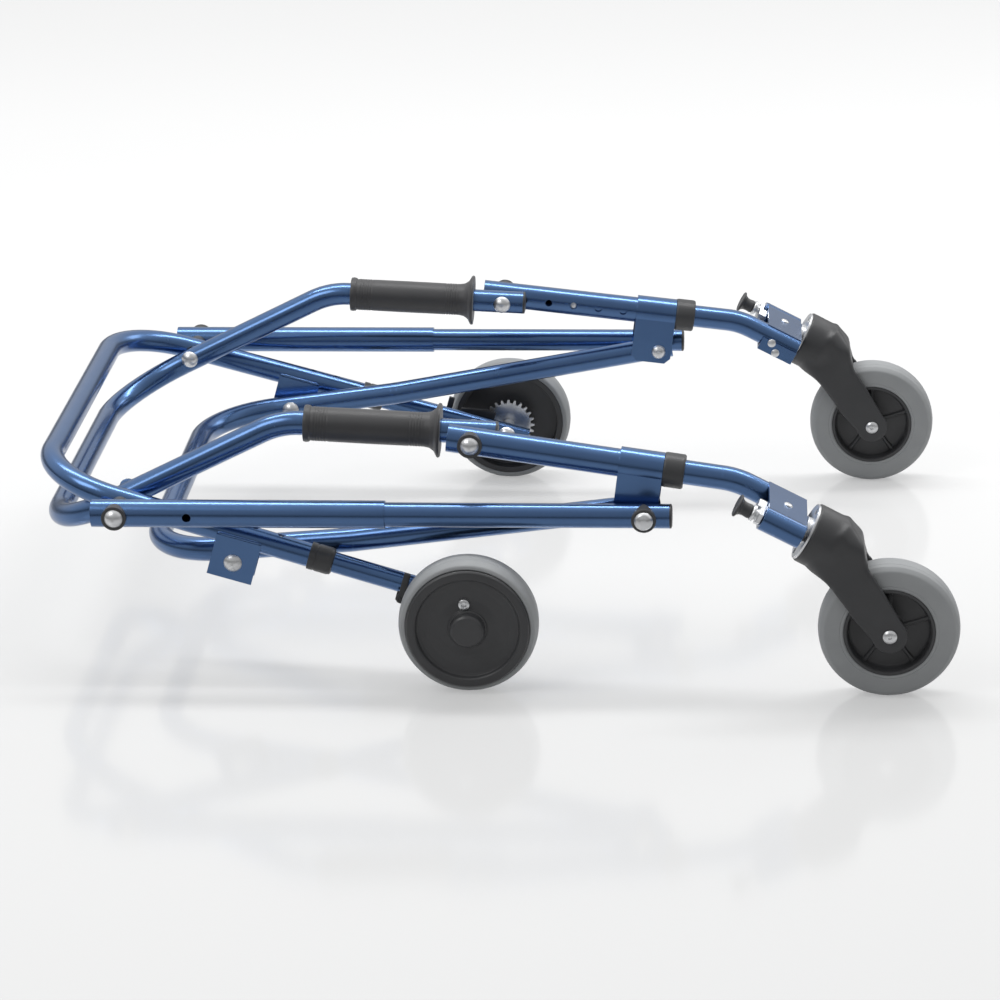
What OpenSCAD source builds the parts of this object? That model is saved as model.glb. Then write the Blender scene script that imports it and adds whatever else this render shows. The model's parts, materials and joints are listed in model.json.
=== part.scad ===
// Folding posterior walker, shown folded and standing on its four wheels.
// +X is the walking direction, +Y the user's left, +Z up. Millimetres.
// The frame folds about four hinge lines that run along Y:
// rear hinge (handles, rear frame, braces), front hinge (handles, front legs),
// link hinge (rear frame, cross frame), leg hinge (front legs, cross frame, braces).

/* [Wheels] */
// Outside diameter of every wheel
wheel_d = 127; // [122:0.5:128]
// Width of a tyre
tyre_w = 32; // [30:0.5:33]
// Distance of the rear axle behind the origin
rear_axle_back = 12; // [5:0.5:20]
// Distance between the axles while folded
wheelbase = 377.5; // [374:0.5:380]
// Distance of each wheel's middle plane from the centre plane
wheel_side = 288; // [287:0.5:290]

/* [Tubes] */
// Diameter of the handle, rear and cross frame tubes
frame_d = 22.2; // [21.8:0.1:22.4]
// Diameter of the front leg and brace outer tubes
outer_d = 25.4; // [25.2:0.1:25.6]
// Diameter of the tubes that slide inside those outer tubes
inner_d = 22.2; // [21.8:0.1:22.3]
// Diameter of the sliding rear legs
rear_leg_d = 19; // [18.6:0.1:19.1]
// Wall thickness of the frame and outer tubes
wall = 1.5; // [1.2:0.1:1.5]

/* [Handles] */
// Distance of the handle tubes from the centre plane
handle_side = 203.5; // [203:0.5:204]
// Length of a grip without its flange
grip_len = 122; // [110:1:126]
// Diameter of a grip
grip_d = 31.5; // [30:0.5:34]
// Diameter of the flange at the front of a grip
flange_d = 50; // [44:1:54]

/* [Hinges] */
// Diameter of the hinge bolts
bolt_d = 8; // [7:0.5:8.5]
// Radial gap of a turning tube on its bolt
bolt_gap = 0.08; // [0.05:0.01:0.09]
// Diameter of the domed bolt heads
head_d = 17; // [15:0.5:18]
// Diameter of the black cup washers under the heads
cup_d = 22.5; // [21:0.5:24]

/* [Casters] */
// Angle of the caster's swivel line below the horizontal while folded
swivel_angle = 27.3; // [27:0.1:27.6]
// Distance of the axle behind the swivel line
trail = 46; // [45:0.5:47]
// Distance from the fork's crown to the axle along the swivel line
crown_to_axle = 104; // [103:0.5:105]
// Diameter of the fork's crown
crown_d = 56; // [54:1:57]

/* [Hidden] */
$fn = 64;

BLUE = "#3f68a3";
BLACK = "#303235";
GREY = "#85898b";
CHROME = "#c8ccd0";

// Height of every axle: the wheels stand on Z = 0
axle_z = wheel_d / 2;
rear_axle = [-rear_axle_back, axle_z];
front_axle = [wheelbase - rear_axle_back, axle_z];

// The four hinge lines, as X and Z
rear_hinge = rear_axle + [-321, 92.5];
front_hinge = rear_axle + [0, 152.5];
link_hinge = rear_axle + [-219, 38.5];
leg_hinge = rear_axle + [157.5, 94];

// Distance of each layer of tube from the centre plane
rear_side = handle_side + 24.5;
front_side = handle_side + 25;
brace_side = handle_side + 58.5;
link_side = handle_side + 1.2;
// The side frames spread apart towards the front
rear_spread = 2.2;
front_spread = 2.8;
leg_hinge_side = front_side + (leg_hinge.x - front_hinge.x) * tan(front_spread);

// The fork's crown face stands this far behind the zero of the swivel line
crown_top = 3;

// A bend is this much fatter than its straight tubes, so that they meet in a clean step
bend_swell = 0.05;
// Length by which a straight tube runs into the next bend
bend_lap = 1;

function at(xz, y) = [xz.x, y, xz.y];
function unit(v) = v / norm(v);
function turn(a, b) = acos(min(1, max(-1, unit(a) * unit(b))));
// Euler angles that carry Z onto v
function aim(v) = [0, acos(v.z / norm(v)), atan2(v.y, v.x)];

// Draws on the right-hand side, or mirrored on the left
module on_side(s) {
  if (s < 0)
    children();
  else
    mirror([0, 1, 0]) children();
}

module on_both_sides() {
  on_side(-1) children();
  on_side(1) children();
}

// A hole, pin or disc along Y from y1 to y2 at a hinge line
module rod(xz, y1, y2, d) {
  translate(at(xz, min(y1, y2)))
    rotate([-90, 0, 0])
      cylinder(d = d, h = abs(y2 - y1));
}

module pipe(from, to, od, id) {
  translate(from)
    rotate(aim(to - from))
      difference() {
        cylinder(d = od, h = norm(to - from));
        if (id > 0)
          translate([0, 0, -1]) cylinder(d = id, h = norm(to - from) + 2);
      }
}

// Quarter-ring or less that turns from direction a to direction b at a corner
module elbow(corner, a, b, radius, od, id) {
  swing = turn(a, b);
  back = radius * tan(swing / 2);
  axis = unit(cross(a, b));
  start = corner - back * unit(a);
  centre = start + radius * unit(cross(axis, a));
  out = unit(start - centre);
  e = aim(axis);
  ex = [cos(e.y) * cos(e.z), cos(e.y) * sin(e.z), -sin(e.y)];
  ey = [-sin(e.z), cos(e.z), 0];
  translate(centre)
    rotate(e)
      rotate([0, 0, atan2(out * ey, out * ex)])
        rotate_extrude(angle = swing)
          translate([radius, 0])
            difference() {
              circle(d = od + 2 * bend_swell);
              if (id > 0)
                circle(d = id - 2 * bend_swell);
            }
}

// Distance from a corner to where its bend begins, less the lap
function setback(p, r, i) =
  (i == 0 || i == len(p) - 1) ? 0
  : r[i] * tan(turn(p[i] - p[i - 1], p[i + 1] - p[i]) / 2) - bend_lap;

// A tube along corner points p with bend radii r, one for each point
module bent_tube(p, r, od, id) {
  for (i = [0 : len(p) - 2]) {
    u = unit(p[i + 1] - p[i]);
    pipe(p[i] + u * setback(p, r, i), p[i + 1] - u * setback(p, r, i + 1), od, id);
  }
  for (i = [1 : len(p) - 2])
    elbow(p[i], p[i] - p[i - 1], p[i + 1] - p[i], r[i], od, id);
}

// Corner points of one side, mirrored and joined into a closed U
function both_sides(p) = concat(p, [for (i = [len(p) - 1 : -1 : 0]) [p[i].x, -p[i].y, p[i].z]]);
function both_radii(r) = concat(r, [for (i = [len(r) - 1 : -1 : 0]) r[i]]);

// A low domed bolt head with its flat face at Z = 0
module dome(d, h) {
  r = (d * d / 4 + h * h) / (2 * h);
  intersection() {
    cylinder(d = d, h = h);
    translate([0, 0, h - r]) sphere(r = r, $fn = 96);
  }
}

// Turns Z to point outward on the right-hand side
module outward(xz, y) {
  translate(at(xz, -y)) rotate([90, 0, 0]) children();
}

// Turns Z to point towards the centre plane on the right-hand side
module inward(xz, y) {
  translate(at(xz, -y)) rotate([-90, 0, 0]) children();
}

// ---------------------------------------------------------------- handle frame

handle_bar = rear_axle + [-397, 51];
handle_bend = rear_axle + [-176, 161];
handle_end = front_hinge + [21, -1];
grip_dir = unit(handle_end - handle_bend);
grip_back = handle_bend + grip_dir * 22;
handle_id = frame_d - 2 * wall;
corner_r = 75;

module handle_frame() {
  p = [for (c = [handle_end, handle_bend, handle_bar]) at(c, -handle_side)];
  r = [0, 75, corner_r];
  color(BLUE)
    difference() {
      bent_tube(both_sides(p), both_radii(r), frame_d, handle_id);
      for (h = [rear_hinge, front_hinge])
        rod(h, -handle_side - frame_d, handle_side + frame_d, bolt_d);
    }
}

grip_bore = frame_d + 0.1;

module grips() {
  color(BLACK)
    on_both_sides()
      translate(at(grip_back, -handle_side))
        rotate(aim([grip_dir.x, 0, grip_dir.y]))
          rotate_extrude()
            polygon([[grip_bore / 2, 0], [grip_d / 2, 0], [grip_d / 2 + 1, 3], [grip_d / 2, 6],
              [grip_d / 2, grip_len - 6], [grip_d / 2 + 3, grip_len - 2], [flange_d / 2, grip_len + 1],
              [flange_d / 2, grip_len + 3], [grip_bore / 2, grip_len + 3]]);
}

module handle_plugs() {
  color(BLACK)
    on_both_sides()
      translate(at(handle_end, -handle_side))
        rotate(aim([grip_dir.x, 0, grip_dir.y])) {
          translate([0, 0, -10]) cylinder(d = handle_id - 0.1, h = 10);
          cylinder(d = frame_d, h = 2.5);
        }
}

// --------------------------------------------------------------- hinge hardware

// Layers of tube that each pivot bolt passes, from the centre plane outward
function inner_face(side, d) = side - d / 2;
function outer_face(side, d) = side + d / 2;
nut_h = 5;
head_h = 5;
cup_h = 3;
// A cup washer bites this far over the round of its tube
cup_bite = 2.2;
// Clear gap beside a tube that runs square to its bolt, and beside one that spreads outward
layer_gap = 0.2;
spread_gap = 0.7;
spacer_d = 14;
rear_spacer_d = 16;

module hinge_bolt(hinge, y_out) {
  rod(hinge, -inner_face(handle_side, frame_d) + nut_h - 1, -y_out - cup_h - 0.5, bolt_d - 2 * bolt_gap);
  outward(hinge, y_out + cup_h) dome(head_d, head_h);
}

// A domed nut on the inner end of a bolt
module hinge_nut(hinge, y_in) {
  difference() {
    inward(hinge, y_in) dome(head_d, nut_h);
    rod(hinge, -y_in - 1, -y_in + nut_h - 1, bolt_d);
  }
}

module hinge_bolts() {
  color(CHROME)
    on_both_sides() {
      hinge_bolt(rear_hinge, outer_face(brace_side, outer_d));
      hinge_bolt(front_hinge, outer_face(front_side, outer_d));
      for (h = [rear_hinge, front_hinge])
        hinge_nut(h, inner_face(handle_side, frame_d));
    }
}

// A washer whose inner side is cupped to a tube that runs along dir
module cup_washer(hinge, side, tube_d, dir, d, h) {
  difference() {
    outward(hinge, side + tube_d / 2 - cup_bite) cylinder(d = d, h = h + cup_bite);
    rod(hinge, -side, -side - tube_d, bolt_d + 0.2);
    translate(at(hinge, -side) - 30 * dir)
      rotate(aim(dir))
        cylinder(d = tube_d + 0.3, h = 60);
  }
}

// Flat rings under the heads, clear of the tubes that turn beside them
module hinge_washers() {
  rings = [[rear_hinge, outer_face(brace_side, outer_d), layer_gap],
    [front_hinge, outer_face(front_side, outer_d), spread_gap]];
  color(BLACK)
    on_both_sides()
      for (w = rings)
        difference() {
          rod(w[0], -w[1] - w[2], -w[1] - cup_h, cup_d);
          rod(w[0], -w[1], -w[1] - 2 * cup_h, bolt_d + 0.2);
        }
}

module hinge_spacers() {
  color(BLACK)
    on_both_sides()
      difference() {
        union() {
          rod(rear_hinge, -outer_face(handle_side, frame_d) - layer_gap,
            -inner_face(rear_side, frame_d) + spread_gap, spacer_d);
          rod(rear_hinge, -outer_face(rear_side, frame_d) - spread_gap,
            -inner_face(brace_side, outer_d) + layer_gap, rear_spacer_d);
          rod(front_hinge, -outer_face(handle_side, frame_d) - layer_gap,
            -inner_face(front_side, outer_d) + spread_gap, spacer_d);
        }
        for (h = [rear_hinge, front_hinge])
          rod(h, 0, -brace_side - outer_d, bolt_d);
      }
}

// ------------------------------------------------------------------- rear frame

rear_bar_reach = 79;
// Snap holes in the rear tube, as distances back from the axle
rear_holes = [185, 210];
rear_hole_d = 6;
rear_id = rear_leg_d + 0.4;
// Channel welded under the rear tubes for the link hinge
channel_len = 42;
channel_drop = 40;
sheet = 2;
channel_w = frame_d + 2 * sheet - 0.4;

// The rear tube runs from the rear hinge to the axle and spreads outward on the way
rear_run = rear_axle - rear_hinge;
rear_dir = unit([rear_run.x, -rear_run.x * tan(rear_spread), rear_run.y]);
rear_len = norm([rear_run.x, rear_run.x * tan(rear_spread), rear_run.y]);
rear_slope = atan2(rear_run.y, rear_run.x);
axle_side = rear_side + rear_run.x * tan(rear_spread);
rear_tube_back = 151;

// A point on the right rear tube's axis at a distance back from the axle
function rear_point(back) = at(rear_hinge, -rear_side) + rear_dir * (rear_len - back);

// Draws along the rear tube: X runs down the tube, Z up from its axis, at a distance back from the axle
module on_rear_tube(back) {
  translate(rear_point(back))
    rotate([0, 0, -rear_spread])
      rotate([0, -asin(rear_dir.z), 0])
        children();
}

link_back = -(link_hinge - rear_axle) * unit(rear_run);
channel_side = -rear_point(link_back).y;

module rear_channel() {
  foot = rear_point(link_back);
  translate([foot.x, -channel_side, foot.z])
    rotate([0, -rear_slope, 0])
      difference() {
        translate([-channel_len / 2, -channel_w / 2, -channel_drop])
          cube([channel_len, channel_w, channel_drop]);
        translate([-channel_len, -channel_w / 2 + sheet, -channel_drop - 1])
          cube([2 * channel_len, channel_w - 2 * sheet, channel_drop + 2]);
      }
}

module rear_frame() {
  p = [rear_point(rear_tube_back), rear_point(rear_len + rear_bar_reach)];
  r = [0, corner_r];
  color(BLUE)
    difference() {
      union() {
        bent_tube(both_sides(p), both_radii(r), frame_d, rear_id);
        on_both_sides() rear_channel();
      }
      rod(rear_hinge, -rear_side - frame_d, rear_side + frame_d, bolt_d);
      rod(link_hinge, -rear_side - frame_d, rear_side + frame_d, bolt_d);
      for (back = rear_holes)
        on_both_sides()
          on_rear_tube(back) cylinder(d = rear_hole_d, h = frame_d);
    }
}

// The collar reaches this far over the end of the rear tube, and this far past it
collar_over = 4.5;
collar_past = 18.5;
collar_d = 24.4;

module rear_collars() {
  color(BLACK)
    on_both_sides()
      on_rear_tube(rear_tube_back)
        rotate([0, 90, 0])
          difference() {
            translate([0, 0, -collar_over]) cylinder(d = collar_d, h = collar_over + collar_past);
            translate([0, 0, -2 * collar_over]) cylinder(d = frame_d + 0.1, h = 2 * collar_over);
            cylinder(d = rear_leg_d + 0.3, h = 2 * collar_past);
          }
}

module link_bolts() {
  y_out = channel_side + channel_w / 2;
  y_in = inner_face(link_side, frame_d) - 1;
  color(CHROME)
    on_both_sides() {
      rod(link_hinge, -y_in + nut_h - 1, -y_out - 0.5, bolt_d - 2 * bolt_gap);
      outward(link_hinge, y_out) dome(head_d, 4);
      hinge_nut(link_hinge, y_in);
    }
}

// ------------------------------------------------------------------ cross frame

cross_bar = rear_axle + [-303, 29];
cross_knee = rear_axle + [-113, 50.5];
cross_tip = leg_hinge + 13 * unit(leg_hinge - cross_knee);

// The cross frame's arms spread forward, to end between the cheeks of the front tubes
cross_spread = (leg_hinge_side - link_side) / (leg_hinge.x - link_hinge.x);
function cross_side(x) = link_side + (x - link_hinge.x) * cross_spread;

module cross_frame() {
  p = [for (c = [cross_tip, cross_knee, cross_bar]) at(c, -cross_side(c.x))];
  r = [0, 150, corner_r];
  bush_in = inner_face(leg_hinge_side, frame_d - 2);
  bush_out = outer_face(leg_hinge_side, frame_d - 2);
  color(BLUE) {
    difference() {
      bent_tube(both_sides(p), both_radii(r), frame_d, frame_d - 2 * wall);
      rod(link_hinge, -rear_side, rear_side, bolt_d);
      rod(leg_hinge, -brace_side, brace_side, bolt_d + 2);
      rod(cross_knee, -brace_side, brace_side, 8);
    }
    on_both_sides()
      difference() {
        rod(leg_hinge, -bush_in, -bush_out, bolt_d + 2);
        rod(leg_hinge, 0, -brace_side, bolt_d);
      }
  }
}

// ----------------------------------------------------------- rear legs and wheels

axle_d = 8;
sprocket_teeth = 24;
sprocket_r = 27;
sprocket_y = wheel_side - tyre_w / 2 - 6;
leg_overhang = 22;
rear_leg_len = 245;

module rear_leg(s) {
  color(BLUE)
    on_side(s)
      difference() {
        on_rear_tube(0)
          difference() {
            rotate([0, 90, 0])
              difference() {
                translate([0, 0, -rear_leg_len]) cylinder(d = rear_leg_d, h = rear_leg_len + leg_overhang);
                translate([0, 0, -rear_leg_len - 1])
                  cylinder(d = rear_leg_d - 2 * wall, h = rear_leg_len + leg_overhang + 2);
              }
            translate([-rear_holes[0], 0, 0]) cylinder(d = rear_hole_d - 0.6, h = rear_leg_d);
          }
        rod(rear_axle, 0, -brace_side, axle_d);
      }
}

module rear_leg_right() { rear_leg(-1); }
module rear_leg_left() { rear_leg(1); }

// Spring button of the rear leg, pressed level with the rear tube's bore so that the leg can slide
module rear_button(s) {
  round_r = frame_d / 2 - 0.75;
  color(CHROME)
    on_side(s)
      on_rear_tube(rear_holes[0])
        intersection() {
          translate([0, 0, rear_leg_d / 2 - 3]) cylinder(d = rear_hole_d - 0.8, h = 6);
          translate([0, 0, rear_id / 2 - 0.1 - round_r]) sphere(r = round_r);
        }
}

module rear_button_right() { rear_button(-1); }
module rear_button_left() { rear_button(1); }

axle_in = inner_face(axle_side, rear_leg_d);
axle_out = wheel_side + tyre_w / 2 - 7;

module rear_axle_bolt(s) {
  color(CHROME)
    on_side(s) {
      rod(rear_axle, -axle_in + 1, -axle_out, axle_d - 0.1);
      inward(rear_axle, axle_in - 0.5) dome(18, 6);
      difference() {
        rod(rear_axle, -outer_face(axle_side, rear_leg_d) - 0.9, -sprocket_y + 2.5, spacer_d);
        rod(rear_axle, 0, -wheel_side, axle_d);
      }
    }
}

module rear_axle_right() { rear_axle_bolt(-1); }
module rear_axle_left() { rear_axle_bolt(1); }

// The lever's hinge sits this far back from the axle and this far under the leg's axis
pawl_back = 64;
pawl_drop = 9;
pawl_t = 4;
pawl_pin_d = 3;
lever_t = 4.5;
lever_len = 29;
// Side view of the plate about the lever's hinge: X towards the wheel, Y up
pawl_outline = [[-5, -4], [48, -4], [48, 22], [40, 24], [12, 18], [12, 4], [-5, 4]];

// A black plate beside the leg that carries the pawl near the wheel and the lever at its back
module pawl_cover(s) {
  color(BLACK)
    on_side(s)
      on_rear_tube(pawl_back)
        translate([0, -rear_leg_d / 2 - pawl_t - 0.2, -pawl_drop]) {
          translate([0, pawl_t, 0]) rotate([90, 0, 0]) linear_extrude(pawl_t) polygon(pawl_outline);
          rotate([90, 0, 0]) cylinder(d = pawl_pin_d - 0.16, h = lever_t + 1);
        }
}

module pawl_cover_right() { pawl_cover(-1); }
module pawl_cover_left() { pawl_cover(1); }

// Strap that switches the pawl, turning on the plate's pin
module pawl_lever(s) {
  color(BLACK)
    on_side(s)
      on_rear_tube(pawl_back)
        translate([0, -rear_leg_d / 2 - pawl_t - 0.5, -pawl_drop])
          difference() {
            union() {
              translate([-3, -lever_t, 0]) cube([6, lever_t, lever_len - 4]);
              rotate([90, 0, 0]) cylinder(d = 9, h = lever_t);
            }
            translate([0, 1, 0]) rotate([90, 0, 0]) cylinder(d = pawl_pin_d, h = lever_t + 2);
          }
}

module pawl_lever_right() { pawl_lever(-1); }
module pawl_lever_left() { pawl_lever(1); }

// Tyre section: a round-shouldered tread on a rim seat
module tyre(axle, rim_r) {
  shoulder = 7;
  r = wheel_d / 2;
  translate(at(axle, -wheel_side))
    rotate([90, 0, 0])
      rotate_extrude($fn = 96)
        difference() {
          union() {
            translate([rim_r, -tyre_w / 2]) square([r - shoulder - rim_r, tyre_w]);
            translate([rim_r, -tyre_w / 2 + shoulder]) square([r - rim_r, tyre_w - 2 * shoulder]);
            for (side = [-1, 1])
              translate([r - shoulder, side * (tyre_w / 2 - shoulder)]) circle(r = shoulder);
          }
          translate([0, -tyre_w]) square([rim_r, 2 * tyre_w]);
        }
}

rear_rim_r = 56;
front_rim_r = 41;
bore_d = axle_d + 2 * bolt_gap;

// Hub with a barrel, a web, a rim and a closed cap over the axle's end
module rear_hub(s) {
  half = tyre_w / 2;
  color(BLACK)
    on_side(s)
      translate(at(rear_axle, -wheel_side))
        rotate([90, 0, 0])
          rotate_extrude($fn = 96)
            polygon([[bore_d / 2, -half + 1], [12, -half + 1], [12, -4], [rear_rim_r - 6, -4],
              [rear_rim_r - 6, -half + 1], [rear_rim_r, -half + 1], [rear_rim_r, half + 2],
              [rear_rim_r - 2, half + 3.5], [rear_rim_r - 7, half + 3], [rear_rim_r - 11, half],
              [24, half - 1], [16, half + 1], [15, half + 9], [12, half + 10],
              [0, half + 10], [0, half - 5], [bore_d / 2, half - 5]]);
}

module rear_tyre_right() { color(GREY) tyre(rear_axle, rear_rim_r); }
module rear_tyre_left() { color(GREY) on_side(1) tyre(rear_axle, rear_rim_r); }
module rear_hub_right() { rear_hub(-1); }
module rear_hub_left() { rear_hub(1); }

// Corner points of the ratchet wheel: each tooth has a wide root and a narrow tip
tooth = 360 / sprocket_teeth;
sprocket_outline = [for (i = [0 : sprocket_teeth - 1])
  for (q = [[-0.3, sprocket_r - 4], [-0.12, sprocket_r], [0.12, sprocket_r], [0.3, sprocket_r - 4]])
    q[1] * [cos((i + q[0]) * tooth), sin((i + q[0]) * tooth)]];

module sprocket(s) {
  color(CHROME)
    on_side(s)
      outward(rear_axle, sprocket_y - 2)
        difference() {
          union() {
            linear_extrude(3) polygon(sprocket_outline);
            cylinder(d = 22, h = 8);
          }
          translate([0, 0, -1]) cylinder(d = bore_d, h = 12);
        }
}

module rear_sprocket_right() { sprocket(-1); }
module rear_sprocket_left() { sprocket(1); }

// ------------------------------------------------------------------- front legs

front_drop = 7.3;
front_tail = 21;
front_tube_len = 186;
sleeve_from = 136;
sleeve_len = 40;
sleeve_drop = 50;
sleeve_sheet = 1.3;
sleeve_w = outer_d + 2 * sleeve_sheet;
sleeve_round_d = 30;
front_id = inner_d + 0.4;
front_hole_from = 20.5;
hole_pitch = 25.4;
// The leg's button stands in the third hole
button_hole = front_hole_from + 2 * hole_pitch;

// Draws along the front tube: X runs from the front hinge towards the caster, Z up from the axis
module on_front_tube() {
  translate(at(front_hinge, -front_side))
    rotate([0, 0, -front_spread])
      rotate([0, front_drop, 0])
        children();
}

module along_front(from, len, d) {
  translate([from, 0, 0]) rotate([0, 90, 0]) cylinder(d = d, h = len);
}

// Folded sheet that wraps the tube and hangs down on both sides of the leg hinge
module front_sleeve() {
  difference() {
    union() {
      along_front(sleeve_from, sleeve_len, sleeve_round_d);
      translate([sleeve_from, -sleeve_w / 2, -sleeve_drop])
        cube([sleeve_len, sleeve_w, sleeve_drop]);
    }
    translate([sleeve_from - 1, -outer_d / 2, -sleeve_drop - 1])
      cube([sleeve_len + 2, outer_d, sleeve_drop + 1]);
    for (dx = [0, sleeve_len])
      translate([sleeve_from + dx, 0, -sleeve_drop])
        rotate([0, 45, 0])
          cube([8, 2 * sleeve_w, 8], center = true);
  }
}

module front_tube(s) {
  color(BLUE)
    on_side(s) {
      inward(leg_hinge, leg_hinge_side - sleeve_w / 2 + 0.5) dome(14, 5);
      difference() {
        on_front_tube()
          difference() {
            union() {
              along_front(-front_tail, front_tail + front_tube_len, outer_d);
              front_sleeve();
            }
            along_front(-front_tail - 1, front_tail + front_tube_len + 2, front_id);
            for (i = [0 : 4])
              translate([front_hole_from + i * hole_pitch, 0, 0])
                rotate([-90, 0, 0])
                  cylinder(d = 7, h = outer_d);
          }
        rod(front_hinge, 0, -brace_side, bolt_d);
        rod(leg_hinge, 0, -brace_side, bolt_d);
      }
    }
}

module front_tube_right() { front_tube(-1); }
module front_tube_left() { front_tube(1); }

module front_collar(s) {
  color(BLACK)
    on_side(s)
      on_front_tube()
        difference() {
          along_front(sleeve_from + sleeve_len + 0.2, 19, 31.8);
          along_front(sleeve_from + sleeve_len, front_tube_len - sleeve_from - sleeve_len, outer_d + 0.1);
          along_front(sleeve_from, 100, inner_d + 0.3);
        }
}

module front_collar_right() { front_collar(-1); }
module front_collar_left() { front_collar(1); }

swivel_dir = [cos(swivel_angle), 0, -sin(swivel_angle)];
trail_dir = [-sin(swivel_angle), 0, -cos(swivel_angle)];
crown = at(front_axle, -wheel_side) - crown_to_axle * swivel_dir - trail * trail_dir;
plate_len = 38;
plate_gap = 8.5;
leg_below = 1;

function front_point(d) = at(front_hinge, -front_side)
  + d * [cos(front_drop) * cos(front_spread), -cos(front_drop) * sin(front_spread), -sin(front_drop)];

// The sliding front leg bends down where it meets the line of the swivel
leg_foot = crown + leg_below * trail_dir;
leg_bend_x = (leg_foot.z - front_hinge.y + leg_foot.x * tan(swivel_angle) - front_hinge.x * tan(front_drop))
  / (tan(swivel_angle) - tan(front_drop));
leg_start = front_point(58);
leg_corner = front_point((leg_bend_x - front_hinge.x) / cos(front_drop) / cos(front_spread));
leg_tip = [leg_foot.x, leg_corner.y, leg_foot.z] - plate_gap * swivel_dir;
leg_side = -leg_corner.y;
leg_button_d = 6.4;

module front_leg(s) {
  color(BLUE)
    on_side(s)
      difference() {
        bent_tube([leg_start, leg_corner, leg_tip], [0, 70, 0], inner_d, inner_d - 2 * wall);
        on_front_tube()
          translate([button_hole, 0, 0])
            rotate([-90, 0, 0])
              cylinder(d = leg_button_d + 0.2, h = outer_d);
      }
}

module front_leg_right() { front_leg(-1); }
module front_leg_left() { front_leg(1); }

// Draws about the swivel line: Z runs down the line from the crown, X towards the trailing side
module on_swivel() {
  translate(crown)
    rotate([0, 90 + swivel_angle, 0])
      children();
}

housing_d = 20;
stem_d = 10;
guide_d = 22.2;
// Sideways distance from the swivel line out to the lock pin, and in to the leg
guide_out = 20.5;
leg_in = wheel_side - leg_side;
barrel_d = 11;
pin_d = 6;
bracket_sheet = 2.2;
bracket_top = 10.6;

// Sheet clamp, stem housing and guide tube, welded together on the leg
module caster_bracket(s) {
  from = -plate_len - plate_gap;
  low = inner_d / 2 + leg_below + 0.3;
  color(BLUE)
    on_side(s)
      on_swivel()
        difference() {
          union() {
            // Top sheet from over the leg to over the guide tube
            translate([-bracket_top, -guide_out - 4, from])
              cube([bracket_sheet, guide_out + 4 + leg_in + 3, plate_len]);
            // Flange on the inner side of the leg
            translate([leg_below, leg_in + inner_d / 2, from])
              cube([low - leg_below + bracket_sheet, bracket_sheet, plate_len]);
            // Bottom sheet from the flange to the stem housing
            translate([low, -4, from]) cube([bracket_sheet, leg_in + inner_d / 2 + 4.2, plate_len]);
            translate([0, -4, from]) cube([low + 1, 8, plate_len]);
            translate([-bracket_top + 1, -4, from]) cube([8, 8, plate_len]);
            translate([0, 0, from]) cylinder(d = housing_d, h = plate_len);
            translate([0, -guide_out, from - 2]) cylinder(d = guide_d, h = plate_len + 1);
          }
          translate([0, 0, from - 5]) cylinder(d = stem_d + 2 * bolt_gap, h = plate_len + 10);
          translate([0, -guide_out, from - 5]) cylinder(d = barrel_d, h = plate_len + 10);
          translate([leg_below, leg_in, from - 5]) cylinder(d = inner_d + 0.04, h = plate_len + 10);
        }
}

module caster_bracket_right() { caster_bracket(-1); }
module caster_bracket_left() { caster_bracket(1); }

// Distances along the swivel line of the lock's barrel and knob
barrel_from = -plate_len - plate_gap - 13;
pin_to = -crown_top - 2.3;

// Threaded barrel that guides the lock pin in the guide tube
module lock_barrel(s) {
  color(CHROME)
    on_side(s)
      on_swivel()
        translate([0, -guide_out, barrel_from])
          difference() {
            union() {
              cylinder(d = barrel_d, h = 34);
              cylinder(d = 15, h = 4);
              translate([0, 0, 6]) cylinder(d = 17, h = 4.9, $fn = 6);
            }
            translate([0, 0, -1]) cylinder(d = pin_d + 0.1, h = 60);
          }
}

module lock_barrel_right() { lock_barrel(-1); }
module lock_barrel_left() { lock_barrel(1); }

knob_flange_d = 21.5;

// Knob and pin of the swivel lock, pulled back to free the caster
module lock_knob(s) {
  color(BLACK)
    on_side(s)
      on_swivel()
        translate([0, -guide_out, 0]) {
          translate([0, 0, barrel_from - 1]) cylinder(d = pin_d - 0.04, h = pin_to - barrel_from + 1);
          translate([0, 0, barrel_from - 14.2])
            rotate_extrude()
              polygon([[0, 0], [knob_flange_d / 2, 0], [knob_flange_d / 2, 1.8],
                [6.5, 5], [6.5, 14], [0, 14]]);
        }
}

module lock_knob_right() { lock_knob(-1); }
module lock_knob_left() { lock_knob(1); }

// Spring button of the front leg, pressed level with the front tube's bore so that the leg can slide
module leg_button(s) {
  round_r = inner_d / 2 - 0.8;
  color(CHROME)
    on_side(s)
      on_front_tube()
        translate([button_hole, 0, 0])
          rotate([-90, 0, 0])
            intersection() {
              translate([0, 0, inner_d / 2 - 3]) cylinder(d = leg_button_d, h = 6.2);
              translate([0, 0, front_id / 2 - 0.1 - round_r]) sphere(r = round_r);
            }
}

module leg_button_right() { leg_button(-1); }
module leg_button_left() { leg_button(1); }

// ---------------------------------------------------------------------- casters

fork_w = 49;
fork_slot = tyre_w + 5;
tip_r = 16;

// Side view of the fork: X towards the trailing side, Y down the swivel line
module fork_outline() {
  polygon([[-28, 10], [-28, 25], [-18, 44], [-8, 51], [0, 60], [trail - 10.8, crown_to_axle + 11.8],
    [trail + 10.8, crown_to_axle - 11.8], [46.4, 66.7], [29.5, 32], [28, 24], [28, 10]]);
  translate([trail, crown_to_axle]) circle(r = tip_r);
}

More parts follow.
